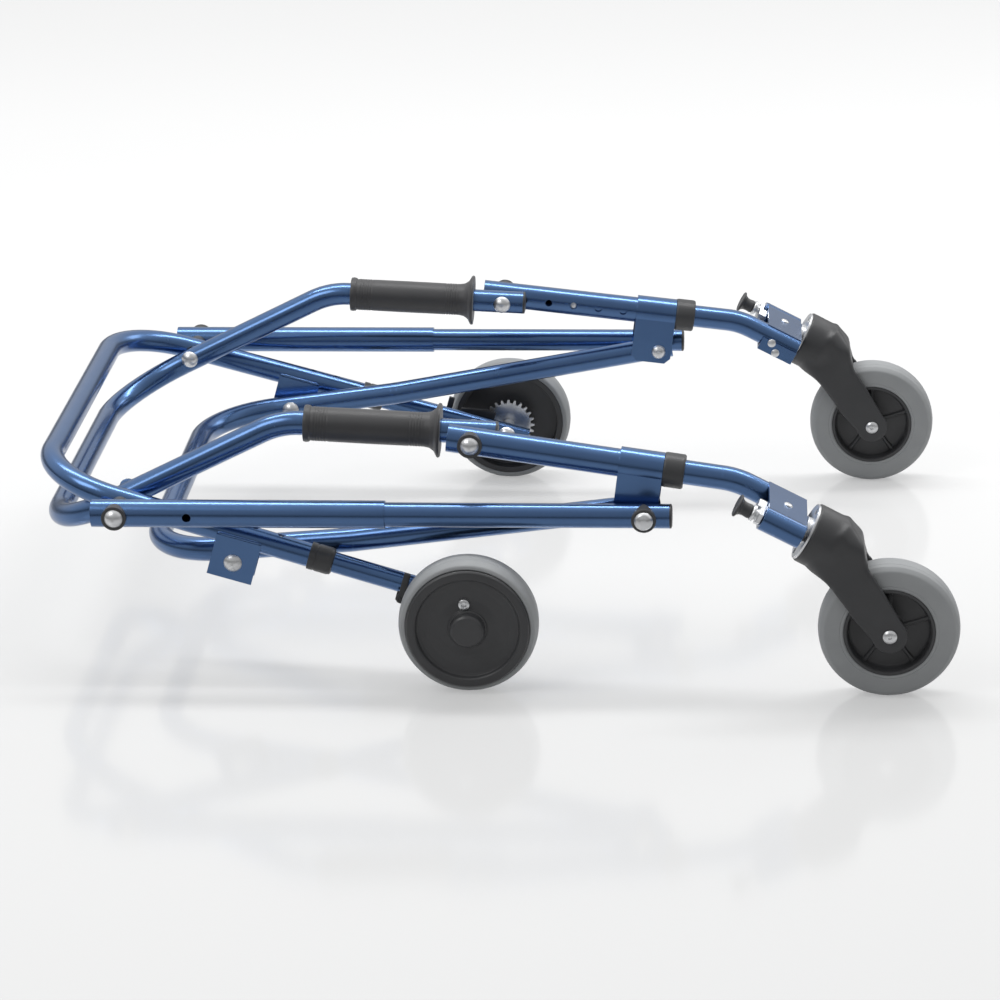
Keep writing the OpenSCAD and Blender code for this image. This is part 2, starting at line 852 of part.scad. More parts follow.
// Round body under the crown that leans over into the two arms
module fork_body() {
  lean = atan2(trail, crown_to_axle - 18);
  translate([0, 0, -crown_top]) cylinder(d = crown_d, h = crown_top + 21);
  translate([0, 0, 18]) cylinder(d1 = crown_d, d2 = fork_w, h = 12);
  intersection() {
    rotate([90, 0, 0])
      translate([0, 0, -fork_w / 2])
        linear_extrude(fork_w) fork_outline();
    union() {
      cylinder(d = crown_d, h = 52);
      translate([0, 0, 18]) rotate([0, lean, 0]) translate([0, 0, -8]) cylinder(r = 30, h = 140);
    }
  }
}

module caster_fork(s) {
  color(BLACK)
    on_side(s)
      difference() {
        on_swivel()
          difference() {
            fork_body();
            translate([trail, fork_slot / 2, crown_to_axle])
              rotate([90, 0, 0])
                cylinder(r = wheel_d / 2 + 4, h = fork_slot);
            translate([-60, -fork_slot / 2, 66]) cube([160, fork_slot, 80]);
            translate([0, 0, -crown_top - 1]) cylinder(d = stem_d, h = 60);
          }
        rod(front_axle, -wheel_side - fork_w, -wheel_side + fork_w, axle_d);
      }
}

module caster_fork_right() { caster_fork(-1); }
module caster_fork_left() { caster_fork(1); }

// Stem with its lock nut, and the race whose holes take the lock pin
module caster_stem(s) {
  race_from = -crown_top - 2;
  color(CHROME)
    on_side(s)
      on_swivel() {
        difference() {
          union() {
            translate([0, 0, race_from]) cylinder(d = crown_d - 3, h = 2);
            translate([0, 0, -plate_gap + 0.2]) cylinder(d = 26, h = plate_gap + race_from);
          }
          for (a = [0 : 90 : 270])
            rotate([0, 0, a]) translate([0, -guide_out, race_from - 1]) cylinder(d = pin_d + 0.6, h = 4);
        }
        translate([0, 0, -plate_len - plate_gap - 2])
          cylinder(d = stem_d - 0.04, h = plate_len + plate_gap + 30);
        translate([0, 0, -plate_len - plate_gap - 8]) cylinder(d = 17, h = 7.5, $fn = 6);
      }
}

module caster_stem_right() { caster_stem(-1); }
module caster_stem_left() { caster_stem(1); }

module front_axle_bolt(s) {
  color(CHROME)
    on_side(s) {
      rod(front_axle, -wheel_side - fork_w / 2 - 0.5, -wheel_side + fork_w / 2 + 0.5, axle_d - 0.1);
      outward(front_axle, wheel_side + fork_w / 2) dome(13, 3.5);
      inward(front_axle, wheel_side - fork_w / 2) dome(13, 3.5);
    }
}

module front_axle_right() { front_axle_bolt(-1); }
module front_axle_left() { front_axle_bolt(1); }

module front_tyre_right() { color(GREY) tyre(front_axle, front_rim_r); }
module front_tyre_left() { color(GREY) on_side(1) tyre(front_axle, front_rim_r); }

// Hub with deep dished faces and five ribs on each
module front_hub(s) {
  half = tyre_w / 2;
  color(BLACK)
    on_side(s)
      translate(at(front_axle, -wheel_side))
        rotate([90, 0, 0]) {
          rotate_extrude($fn = 96)
            polygon([[bore_d / 2, -half], [13, -half], [13, -4], [front_rim_r - 4, -4],
              [front_rim_r - 3, -half], [front_rim_r, -half], [front_rim_r, half],
              [front_rim_r - 3, half], [front_rim_r - 4, 4], [13, 4], [13, half], [bore_d / 2, half]]);
          for (i = [0 : 4])
            rotate([0, 0, 18 + i * 72])
              translate([12, -1.5, -half + 4]) cube([front_rim_r - 15, 3, tyre_w - 8]);
        }
}

module front_hub_right() { front_hub(-1); }
module front_hub_left() { front_hub(1); }

// ----------------------------------------------------------------------- braces

brace_tail = 22;
brace_step = 245;
brace_inner_from = 205;
brace_reach = leg_hinge.x - rear_hinge.x;
brace_nose = 23;
brace_id = inner_d + 0.4;
lock_hole = 66;
brace_rise = atan2(leg_hinge.y - rear_hinge.y, brace_reach);

// Draws along the brace: X runs forward from the rear hinge
module on_brace() {
  translate(at(rear_hinge, -brace_side))
    rotate([0, -brace_rise, 0])
      children();
}

module brace_outer(s) {
  color(BLUE)
    on_side(s)
      difference() {
        on_brace()
          difference() {
            along_front(-brace_tail, brace_tail + brace_step, outer_d);
            along_front(-brace_tail - 1, brace_tail + brace_step + 2, brace_id);
            translate([lock_hole, 0, 0]) rotate([90, 0, 0]) cylinder(d = 8, h = outer_d);
          }
        rod(rear_hinge, -brace_side - outer_d, -brace_side + outer_d, bolt_d);
      }
}

module brace_outer_right() { brace_outer(-1); }
module brace_outer_left() { brace_outer(1); }

// Full length of the brace, from the rear hinge to the front end of its inner tube
brace_len = norm([brace_reach, leg_hinge.y - rear_hinge.y]) + brace_nose;
// The lock button stands this far in front of its hole while folded
button_ahead = 154;

module brace_inner(s) {
  color(BLUE)
    on_side(s)
      difference() {
        on_brace()
          difference() {
            along_front(brace_inner_from, brace_len - brace_inner_from, inner_d);
            along_front(brace_inner_from - 1, 400, inner_d - 2 * wall);
            translate([lock_hole + button_ahead, 0, 0]) rotate([90, 0, 0]) cylinder(d = 7, h = outer_d);
          }
        rod(leg_hinge, -brace_side - outer_d, -brace_side + outer_d, bolt_d);
      }
}

module brace_inner_right() { brace_inner(-1); }
module brace_inner_left() { brace_inner(1); }

module brace_cap(s) {
  color(BLACK)
    on_side(s)
      on_brace() {
        along_front(brace_len - 8, 8, inner_d - 2 * wall - 0.1);
        along_front(brace_len, 2.5, inner_d);
      }
}

module brace_cap_right() { brace_cap(-1); }
module brace_cap_left() { brace_cap(1); }

// Pivot head and stub at the leg hinge, carried by the brace
module brace_pin(s) {
  y_out = outer_face(brace_side, inner_d);
  color(CHROME)
    on_side(s) {
      rod(leg_hinge, -inner_face(brace_side, inner_d) - 0.1, -y_out - cup_h - 0.5, bolt_d - 0.1);
      outward(leg_hinge, y_out + cup_h) dome(head_d, head_h);
      cup_washer(leg_hinge, brace_side, inner_d, [1, 0, 0], cup_d, cup_h);
    }
}

module brace_pin_right() { brace_pin(-1); }
module brace_pin_left() { brace_pin(1); }

// Spring button that locks the brace when the walker is open, held in by the outer tube when folded
module brace_button(s) {
  color(CHROME)
    on_side(s)
      on_brace()
        translate([lock_hole + button_ahead, 0, 0])
          rotate([90, 0, 0])
            intersection() {
              translate([0, 0, 4]) cylinder(d = 6.6, h = 6.9);
              translate([0, 0, 2]) sphere(r = inner_d / 2 - 2.1);
            }
}

module brace_button_right() { brace_button(-1); }
module brace_button_left() { brace_button(1); }

handle_frame();
grips();
handle_plugs();
hinge_bolts();
hinge_washers();
hinge_spacers();
rear_frame();
rear_collars();
link_bolts();
cross_frame();
rear_leg_right();
rear_axle_right();
pawl_cover_right();
pawl_lever_right();
rear_button_right();
rear_leg_left();
rear_axle_left();
pawl_cover_left();
pawl_lever_left();
rear_button_left();
rear_tyre_right();
rear_hub_right();
rear_sprocket_right();
rear_tyre_left();
rear_hub_left();
rear_sprocket_left();
front_tube_right();
front_collar_right();
front_tube_left();
front_collar_left();
front_leg_right();
caster_bracket_right();
lock_barrel_right();
front_leg_left();
caster_bracket_left();
lock_barrel_left();
leg_button_right();
leg_button_left();
lock_knob_right();
lock_knob_left();
caster_fork_right();
caster_stem_right();
front_axle_right();
caster_fork_left();
caster_stem_left();
front_axle_left();
front_tyre_right();
front_hub_right();
front_tyre_left();
front_hub_left();
brace_outer_right();
brace_outer_left();
brace_inner_right();
brace_cap_right();
brace_pin_right();
brace_inner_left();
brace_cap_left();
brace_pin_left();
brace_button_right();
brace_button_left();
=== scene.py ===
"""Looks of a folded posterior walker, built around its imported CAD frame.

Lengths inside the script are millimetres in the CAD frame (+X walking direction, +Y the user's
left, +Z up) and become metres when a mesh is made. Side parts are built on the right-hand side (-Y)
and mirrored for the left. The camera, the lights and the floor are in metres.
"""

import json
import math

import bmesh
import bpy
from mathutils import Matrix, Vector


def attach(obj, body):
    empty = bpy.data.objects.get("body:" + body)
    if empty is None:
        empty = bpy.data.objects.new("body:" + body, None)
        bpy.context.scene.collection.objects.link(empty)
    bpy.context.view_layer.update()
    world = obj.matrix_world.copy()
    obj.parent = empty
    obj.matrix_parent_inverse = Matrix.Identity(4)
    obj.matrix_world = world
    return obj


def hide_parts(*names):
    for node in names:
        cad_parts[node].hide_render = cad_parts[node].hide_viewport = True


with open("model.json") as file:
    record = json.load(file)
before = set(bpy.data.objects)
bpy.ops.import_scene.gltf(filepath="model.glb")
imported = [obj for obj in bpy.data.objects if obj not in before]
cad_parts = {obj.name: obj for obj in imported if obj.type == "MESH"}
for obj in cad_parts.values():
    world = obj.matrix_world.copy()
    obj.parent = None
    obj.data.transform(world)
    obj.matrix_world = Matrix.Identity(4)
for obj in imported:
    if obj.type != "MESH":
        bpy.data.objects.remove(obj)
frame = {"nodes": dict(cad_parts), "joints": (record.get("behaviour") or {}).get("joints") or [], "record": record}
NODES = frame["nodes"]
JOINTS = {j["name"]: j for j in frame["joints"]}
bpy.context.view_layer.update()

MM = 0.001
SIDES = (("right", -1), ("left", 1))


# ------------------------------------------------------------------ places on the frame


def joint_place(name):
    """A joint's point in millimetres."""
    return Vector(JOINTS[name]["pos_m"]) / MM


def joint_axis(name):
    """A joint's direction, one unit long."""
    return Vector(JOINTS[name]["axis"]).normalized()


REAR_HINGE = joint_place("rear_frame_fold")
FRONT_HINGE = joint_place("front_tube_fold_right")
LINK_HINGE = joint_place("cross_frame_fold")
CROWN = joint_place("caster_swivel_right")
REAR_AXLE = joint_place("rear_wheel_spin_right")
FRONT_AXLE = joint_place("front_wheel_spin_right")
SWIVEL = joint_axis("caster_swivel_right")
FRONT_RUN = joint_axis("front_leg_height_right")
REAR_RUN = joint_axis("rear_leg_height_right")
BRACE_RUN = -joint_axis("brace_slide_right")
BRACE_START = joint_place("brace_turn_right")
LEG_HINGE = Vector((REAR_AXLE.x + 157.5, BRACE_START.y, REAR_AXLE.z + 94))
TRAIL = Vector((SWIVEL.z, 0, -SWIVEL.x))
OUT = Vector((0, -1, 0))

# Sides are distances from the centre plane
HANDLE_SIDE = 203.5
REAR_SIDE = 228.0
FRONT_SIDE = 228.5
FRONT_SPREAD = math.radians(2.8)
LEG_HINGE_SIDE = FRONT_SIDE + (LEG_HINGE.x - FRONT_HINGE.x) * math.tan(FRONT_SPREAD)

TUBE_D = 22.2
OUTER_TUBE_R = 12.7
SHANK_R = 3.95
SADDLE_R = 11.2
LEG_SADDLE_H = 3

TYRE_HALF = 16.0
WHEEL_R = REAR_AXLE.z
REAR_RIM = 56
FRONT_RIM = 41

# The lock pin's line is outboard of the swivel line, and its guide starts above the crown
GUIDE_OUT = 20.5
BARREL_FROM = -59.5
KNOB_LEN = 14.2


def place(origin, z, x=(1, 0, 0)):
    """Matrix whose local Z runs along z and whose local X is as near to x as it can be."""
    z = Vector(z).normalized()
    x = Vector(x)
    x = (x - z * x.dot(z)).normalized()
    m = Matrix((x, z.cross(x), z)).transposed().to_4x4()
    m.translation = Vector(origin)
    return m


# ------------------------------------------------------------------------ mesh building


def rounded(points, closed=True, steps=4):
    """Profile points (radius, height, fillet) with each fillet drawn as an arc."""
    out = []
    count = len(points)
    for i, (px, py, fillet) in enumerate(points):
        p = Vector((px, py))
        if fillet <= 0 or (not closed and i in (0, count - 1)):
            out.append((px, py))
            continue
        a = Vector(points[i - 1][:2]) - p
        b = Vector(points[(i + 1) % count][:2]) - p
        half = a.angle(b) / 2
        if half > math.radians(88):
            out.append((px, py))
            continue
        cut = min(fillet / math.tan(half), 0.45 * a.length, 0.45 * b.length)
        radius = cut * math.tan(half)
        a.normalize()
        b.normalize()
        centre = p + (a + b).normalized() * (radius / math.sin(half))
        for k in range(steps + 1):
            spoke = (p + a * cut - centre).lerp(p + b * cut - centre, k / steps)
            point = centre + spoke.normalized() * radius
            out.append((point.x, point.y))
    return out


def lathe(bm, profile, at, closed=False, steps=96):
    """Turns a profile of (radius, height) about the local Z of a place."""
    rings = []
    for k in range(steps):
        c, s = math.cos(2 * math.pi * k / steps), math.sin(2 * math.pi * k / steps)
        rings.append([bm.verts.new(at @ Vector((r * c, r * s, z))) for r, z in profile])
    spans = len(profile) if closed else len(profile) - 1
    for k in range(steps):
        one, two = rings[k], rings[(k + 1) % steps]
        for i in range(spans):
            j = (i + 1) % len(profile)
            if profile[i][0] > 1e-6 or profile[j][0] > 1e-6:
                bm.faces.new((one[i], two[i], two[j], one[j]))
    bmesh.ops.remove_doubles(bm, verts=bm.verts, dist=1e-4)


def sweep(bm, points, radius, rings=10, wobble=0.0):
    """A round bead along points, with closed round ends and a rippled surface."""
    loops = []
    last = len(points) - 1
    for i, p in enumerate(points):
        run = (points[min(i + 1, last)] - points[max(i - 1, 0)]).normalized()
        at = place(p, run, (0.3, 0.9, 0.2))
        ease = min(1.0, 0.25 + min(i, last - i) * 0.4)
        r = radius * ease * (1 + wobble * math.sin(i * 2.1))
        loops.append([
            bm.verts.new(at @ Vector((r * math.cos(2 * math.pi * k / rings),
                                      r * math.sin(2 * math.pi * k / rings), 0)))
            for k in range(rings)
        ])
    for one, two in zip(loops, loops[1:]):
        for k in range(rings):
            bm.faces.new((one[k], one[(k + 1) % rings], two[(k + 1) % rings], two[k]))
    bm.faces.new(loops[0])
    bm.faces.new(loops[-1])


def mirrored(build):
    """A builder's mesh on both sides."""
    def both(bm):
        build(bm)
        twin = bmesh.new()
        build(twin)
        copy = {v: bm.verts.new((v.co.x, -v.co.y, v.co.z)) for v in twin.verts}
        for f in twin.faces:
            bm.faces.new([copy[v] for v in f.verts])
        twin.free()
    return both


def make(name, build, mat, body, slot, replaced=(), side=-1, smooth_angle=35):
    """Makes one piece from a builder, rides it on its body and hides the CAD parts it replaces."""
    bm = bmesh.new()
    build(bm)
    for v in bm.verts:
        v.co = Vector((v.co.x, -side * v.co.y, v.co.z)) * MM
    bmesh.ops.recalc_face_normals(bm, faces=bm.faces)
    mesh = bpy.data.meshes.new(name)
    bm.to_mesh(mesh)
    bm.free()
    piece = bpy.data.objects.new(name, mesh)
    bpy.context.scene.collection.objects.link(piece)
    mesh.materials.append(mat)
    mesh.shade_smooth()
    mesh.set_sharp_from_angle(angle=math.radians(smooth_angle))
    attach(piece, body)
    if replaced:
        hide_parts(*replaced)


def make_pair(name, build, mat, body, slot, node=None, **more):
    """The same piece on the right and mirrored on the left."""
    for side_name, side in SIDES:
        replaced = (f"{node}_{side_name}",) if node else ()
        make(f"{name}_{side_name}", build, mat, f"{body}_{side_name}", slot, replaced, side, **more)


SOFT_ROUNDS = 40


def moulded(name, node, mat, body, voxel, rounds, keep, soft=None):
    """A moulded copy of a CAD node: its edges rounded off, and more so where soft says."""
    bm = bmesh.new()
    bm.from_mesh(NODES[node].data)
    bmesh.ops.remove_doubles(bm, verts=bm.verts, dist=1e-5)
    mesh = bpy.data.meshes.new(name)
    bm.to_mesh(mesh)
    bm.free()
    piece = bpy.data.objects.new(name, mesh)
    bpy.context.scene.collection.objects.link(piece)
    remesh = piece.modifiers.new("remesh", "REMESH")
    remesh.mode = "VOXEL"
    remesh.voxel_size = voxel * MM
    smooth = piece.modifiers.new("smooth", "SMOOTH")
    smooth.factor = 0.5
    smooth.iterations = rounds
    graph = bpy.context.evaluated_depsgraph_get()
    if soft:
        bm = bmesh.new()
        bm.from_mesh(piece.evaluated_get(graph).to_mesh())
        loose = [v for v in bm.verts if soft(v.co / MM)]
        for _ in range(SOFT_ROUNDS):
            bmesh.ops.smooth_vert(bm, verts=loose, factor=0.6,
                                  use_axis_x=True, use_axis_y=True, use_axis_z=True)
        piece.modifiers.clear()
        bm.to_mesh(piece.data)
        bm.free()
    thin = piece.modifiers.new("thin", "DECIMATE")
    thin.ratio = keep
    graph = bpy.context.evaluated_depsgraph_get()
    final = bpy.data.meshes.new_from_object(piece.evaluated_get(graph))
    piece.modifiers.clear()
    piece.data = final
    final.name = name
    final.materials.clear()
    final.materials.append(mat)
    final.shade_smooth()
    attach(piece, body)
    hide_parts(node)


# ---------------------------------------------------------------------------- materials


class Tree:
    """Short names for adding and joining shader nodes."""

    def __init__(self, tree):
        self.tree = tree
        tree.nodes.clear()

    def node(self, kind, settings=None, **inputs):
        made = self.tree.nodes.new(kind)
        for key, value in (settings or {}).items():
            setattr(made, key, value)
        for key, value in inputs.items():
            self.feed(made, key.replace("_", " "), value)
        return made

    def feed(self, made, key, value):
        socket = made.inputs[int(key)] if key.isdigit() else made.inputs[key]
        if isinstance(value, bpy.types.NodeSocket):
            self.tree.links.new(value, socket)
        else:
            socket.default_value = value

    def ramp(self, factor, stops):
        made = self.node("ShaderNodeValToRGB", Fac=factor)
        elements = made.color_ramp.elements
        while len(elements) < len(stops):
            elements.new(0.5)
        for element, (where, value) in zip(elements, stops):
            element.position = where
            element.color = value if isinstance(value, tuple) else (value, value, value, 1)
        return made.outputs["Color"]

    def mix(self, factor, a, b):
        made = self.node("ShaderNodeMix", {"data_type": "RGBA"})
        self.feed(made, "0", factor)
        self.feed(made, "6", a)
        self.feed(made, "7", b)
        return made.outputs[2]

    def math(self, what, a, b=0.0):
        made = self.node("ShaderNodeMath", {"operation": what})
        self.feed(made, "0", a)
        self.feed(made, "1", b)
        return made.outputs[0]

    def noise(self, point, scale, detail=3.0, rough=0.55):
        return self.node("ShaderNodeTexNoise", Vector=point, Scale=scale, Detail=detail,
                         Roughness=rough).outputs[0]


def colour(r, g, b):
    return (r, g, b, 1.0)


def surface(name, base, patch, edge, roughness, metallic=0.0, bevel=0.5, grain_scale=900.0,
            grain_height=0.02, pit_scale=0.0, vary=0.08, coat=0.0, sheen=0.0, wear=0.35):
    """A finish with patches of colour, worn edges, grain and uneven gloss."""
    mat = bpy.data.materials.new(name)
    mat.use_nodes = True
    t = Tree(mat.node_tree)
    where = t.node("ShaderNodeTexCoord").outputs["Object"]
    broad = t.noise(where, 22.0, 4.0)
    fine = t.noise(where, grain_scale, 4.0, 0.6)
    tint = t.mix(t.ramp(broad, [(0.35, 0.0), (0.7, 1.0)]), base, patch)
    round_off = t.node("ShaderNodeBevel", {"samples": 6}, Radius=bevel * MM).outputs[0]
    flat = t.node("ShaderNodeNewGeometry").outputs["Normal"]
    facing = t.node("ShaderNodeVectorMath", {"operation": "DOT_PRODUCT"})
    t.feed(facing, "0", round_off)
    t.feed(facing, "1", flat)
    edge_mask = t.ramp(facing.outputs["Value"], [(0.86, 1.0), (0.985, 0.0)])
    rubbed = t.ramp(t.noise(where, 160.0, 5.0), [(0.42, 0.0), (0.62, 1.0)])
    scuffed = t.math("MULTIPLY", edge_mask, rubbed)
    tint = t.mix(t.math("MULTIPLY", scuffed, wear), tint, edge)
    smudge = t.math("MULTIPLY", t.math("SUBTRACT", t.noise(where, 45.0, 5.0), 0.5), vary * 2)
    gloss = t.math("ADD", smudge, roughness)
    height = fine
    if pit_scale:
        cells = t.node("ShaderNodeTexVoronoi", Vector=where, Scale=pit_scale)
        pits = t.math("MULTIPLY", cells.outputs["Distance"], 0.8)
        height = t.math("ADD", pits, fine)
    bump = t.node("ShaderNodeBump", Strength=1.0, Distance=grain_height * MM, Height=height,
                  Normal=round_off)
    shader = t.node("ShaderNodeBsdfPrincipled", Base_Color=tint, Metallic=metallic, Roughness=gloss,
                    Coat_Weight=coat, Coat_Roughness=0.08, Sheen_Weight=sheen,
                    Normal=bump.outputs[0], Coat_Normal=round_off)
    t.node("ShaderNodeOutputMaterial", Surface=shader.outputs[0])
    return mat


BLUE = surface("blue_anodised", colour(0.088, 0.172, 0.352), colour(0.078, 0.154, 0.322),
               colour(0.32, 0.42, 0.58), 0.25, metallic=1.0, coat=0.35, grain_scale=1400.0,
               grain_height=0.012, vary=0.05)
RUBBER = surface("grip_rubber", colour(0.040, 0.040, 0.043), colour(0.048, 0.048, 0.051),
                 colour(0.10, 0.10, 0.10), 0.46, bevel=0.8, grain_scale=1100.0, grain_height=0.05,
                 pit_scale=700.0, sheen=0.15)
PLASTIC = surface("black_plastic", colour(0.043, 0.044, 0.047), colour(0.051, 0.052, 0.055),
                  colour(0.12, 0.12, 0.125), 0.42, bevel=0.6, grain_scale=1500.0, grain_height=0.03,
                  pit_scale=1200.0)
HUB = surface("hub_plastic", colour(0.045, 0.046, 0.049), colour(0.053, 0.054, 0.057),
              colour(0.10, 0.10, 0.105), 0.36, bevel=0.6, grain_scale=1300.0, grain_height=0.02,
              pit_scale=900.0)
TYRE = surface("tyre_rubber", colour(0.330, 0.342, 0.350), colour(0.292, 0.303, 0.312),
               colour(0.36, 0.37, 0.38), 0.50, bevel=0.8, grain_scale=800.0, grain_height=0.04,
               pit_scale=500.0, vary=0.10, wear=0.2)
CHROME = surface("zinc_steel", colour(0.78, 0.79, 0.80), colour(0.70, 0.71, 0.73),
                 colour(0.90, 0.90, 0.90), 0.32, metallic=1.0, grain_scale=1500.0, grain_height=0.015,
                 vary=0.08)

SLOT_FINISH = {
    "blue_tube": BLUE,
    "grip_rubber": RUBBER,
    "black_plastic": PLASTIC,
    "tyre_rubber": TYRE,
    "zinc_steel": CHROME,
}
for part in frame["record"]["subparts"]:
    data = NODES[part["node"]].data
    data.materials.clear()
    data.materials.append(SLOT_FINISH[part["material_slot"]])


# ------------------------------------------------------------------------- handle parts

HANDLE_BEND = Vector((REAR_AXLE.x - 176, -HANDLE_SIDE, REAR_AXLE.z + 161))
HANDLE_END = Vector((FRONT_HINGE.x + 21, -HANDLE_SIDE, FRONT_HINGE.z - 1))
GRIP_RUN = (HANDLE_END - HANDLE_BEND).normalized()
GRIP_FROM = 22
GRIP_LEN = 122.0


def grip(bm):
    """Sleeve with a bead at its back, fine rings at both ends and a finger flange in front."""
    bore = TUBE_D / 2 + 0.05
    body = 15.75
    points = [(bore, 0, 0), (16.7, 0, 0.8), (17.1, 2.6, 1.2), (16.7, 5.2, 0.8), (body - 0.4, 6.4, 0.8)]
    for k in range(5):
        start = 8.5 + 2.6 * k
        points += [(body, start, 0.4), (body, start + 1.7, 0.4), (body - 0.45, start + 2.1, 0.2)]
    points += [(body, 22.5, 0.5), (body + 0.12, 60, 40), (body, 96, 0.5)]
    for k in range(5):
        start = 97.2 + 2.6 * k
        points += [(body - 0.45, start, 0.2), (body, start + 0.5, 0.4), (body, start + 2.1, 0.4)]
    front = GRIP_LEN + 3
    points += [(body, 110.6, 2), (16.6, 115.5, 6), (19.4, 119.6, 5), (24.3, 122.2, 1.5),
               (25, 123.4, 0.8), (24.6, front, 0.7), (bore, front, 0)]
    at = place(HANDLE_BEND + GRIP_RUN * GRIP_FROM, GRIP_RUN)
    lathe(bm, rounded(points), at, closed=True, steps=112)


def handle_plug(bm):
    r = TUBE_D / 2
    points = [(0, -10, 0), (r - 1.55, -10, 0.6), (r - 1.55, 0, 0), (r, 0, 0.3), (r, 1.6, 0.9),
              (r - 3, 2.5, 3), (4.5, 2.5, 0.5), (3.8, 1.6, 0.5), (0, 1.5, 0)]
    lathe(bm, rounded(points, closed=False), place(HANDLE_END, GRIP_RUN))


make("grip_sleeves", mirrored(grip), RUBBER, "handles", "grip_rubber", ("grips",))
make("handle_end_plugs", mirrored(handle_plug), PLASTIC, "handles", "black_plastic", ("handle_plugs",))


# ------------------------------------------------------------------- collars and plugs


def rear_point(back):
    """A point on the right rear tube's axis, at a distance back from the axle."""
    start = Vector((REAR_HINGE.x, -REAR_SIDE, REAR_HINGE.z))
    return start + REAR_RUN * ((REAR_AXLE.x - REAR_HINGE.x) / REAR_RUN.x - back)


def rear_collar(bm):
    """Black socket at the end of the rear tube, with a groove near its back."""
    tube, leg, r = TUBE_D / 2 + 0.05, 9.65, 12.8
    points = [(tube, -4.5, 0), (r - 0.3, -4.5, 0.3), (r, -3.8, 0.5), (r, 1, 0.3), (r - 0.5, 1.4, 0.2),
              (r - 0.5, 2.4, 0.2), (r, 2.8, 0.3), (r, 14.5, 1), (r - 0.9, 17.6, 1), (leg, 18.5, 0),
              (leg, 0, 0), (tube, 0, 0)]
    lathe(bm, rounded(points), place(rear_point(151), REAR_RUN), closed=True)


make("rear_sockets", mirrored(rear_collar), PLASTIC, "rear_frame", "black_plastic", ("rear_collars",))


def front_collar(bm):
    """Black clamping collar of the front leg, plain with rounded ends."""
    tube, leg, r = 12.75, 11.25, 15.9
    points = [(tube, 176.2, 0), (r - 0.4, 176.2, 0.8), (r, 178, 1), (r, 193.4, 1), (r - 0.9, 195.2, 1),
              (leg, 195.2, 0), (leg, 186, 0), (tube, 186, 0)]
    lathe(bm, rounded(points), place(FRONT_HINGE, FRONT_RUN), closed=True)


make_pair("front_clamp", front_collar, PLASTIC, "front_tube", "black_plastic", "front_collar")

BRACE_LEN = (LEG_HINGE - BRACE_START).length + 23


def brace_plug(bm):
    r = TUBE_D / 2
    points = [(0, -8, 0), (r - 1.55, -8, 0.6), (r - 1.55, 0, 0), (r, 0, 0.3), (r, 1.7, 0.9),
              (r - 2.5, 2.5, 2), (4, 2.5, 0.5), (3.4, 1.7, 0.4), (0, 1.6, 0)]
    lathe(bm, rounded(points, closed=False), place(BRACE_START + BRACE_RUN * BRACE_LEN, BRACE_RUN))


make_pair("brace_plug", brace_plug, PLASTIC, "brace_inner", "black_plastic", "brace_cap")


# ------------------------------------------------------------------- bolts and washers


def saddle(bm, centre, run, tube_r, reach, top):
    """Washer skirt that follows the round of a tube, from its crest down to the tube's flanks."""
    at = place(centre, OUT, run)
    steps, chamfer, lip, sunk = 72, 0.93, 0.8, 0.3
    outer, lower, inner = [], [], []
    for k in range(steps):
        a = 2 * math.pi * k / steps
        x, y = reach * math.cos(a), reach * math.sin(a)
        drop = math.sqrt(max(tube_r ** 2 - y ** 2, 0))
        outer.append(bm.verts.new(at @ Vector((chamfer * x, chamfer * y, top))))
        lower.append(bm.verts.new(at @ Vector((x, y, top - lip))))
        inner.append(bm.verts.new(at @ Vector((x, y, drop - sunk))))
    for k in range(steps):
        j = (k + 1) % steps
        bm.faces.new((outer[k], outer[j], lower[j], lower[k]))
        bm.faces.new((lower[k], lower[j], inner[j], inner[k]))
    bm.faces.new(outer)


def brace_saddle(bm):
    saddle(bm, BRACE_START, BRACE_RUN, OUTER_TUBE_R, SADDLE_R, OUTER_TUBE_R + 0.1)


def front_saddle(bm):
    saddle(bm, FRONT_HINGE, FRONT_RUN, OUTER_TUBE_R, SADDLE_R, OUTER_TUBE_R + 0.5)


def leg_saddle(bm):
    saddle(bm, LEG_HINGE, BRACE_RUN, TUBE_D / 2, SADDLE_R, TUBE_D / 2 + LEG_SADDLE_H)


make_pair("brace_saddle", brace_saddle, PLASTIC, "brace_outer", "black_plastic")
make_pair("front_saddle", front_saddle, PLASTIC, "front_tube", "black_plastic")
make_pair("leg_saddle", leg_saddle, PLASTIC, "brace_inner", "black_plastic")


def pan_head(at, r, h, bm):
    """Domed head with a rounded rim."""
    points = [(0, 0, 0), (r, 0, 0.3), (r, 0.9, 0.6), (0.82 * r, 0.62 * h, 0.3 * r),
              (0.4 * r, 0.95 * h, 0.5 * r), (0, h, 0)]
    lathe(bm, rounded(points, closed=False), at, steps=64)


def leg_head(bm):
    """Outer head and shank of the leg hinge's bolt."""
    inner = -TUBE_D / 2 - 0.1
    outer = TUBE_D / 2 + LEG_SADDLE_H
    pan_head(place(LEG_HINGE + OUT * outer, OUT), 8.5, 5, bm)
    shank = [(0, inner), (SHANK_R, inner), (SHANK_R, outer), (0, outer)]
    lathe(bm, shank, place(LEG_HINGE, OUT), steps=40)


def sleeve_bolt(bm):
    """Inner head of the leg hinge's bolt, on the sleeve's cheek."""
    cheek = 14
    at = place((LEG_HINGE.x, -LEG_HINGE_SIDE + cheek - 0.5, LEG_HINGE.z), -OUT)
    pan_head(at, 7.3, 5.3, bm)


make_pair("brace_head", leg_head, CHROME, "brace_inner", "zinc_steel", "brace_pin")
make_pair("sleeve_bolt", sleeve_bolt, CHROME, "front_tube", "zinc_steel")


# --------------------------------------------------------------------------- the wheels


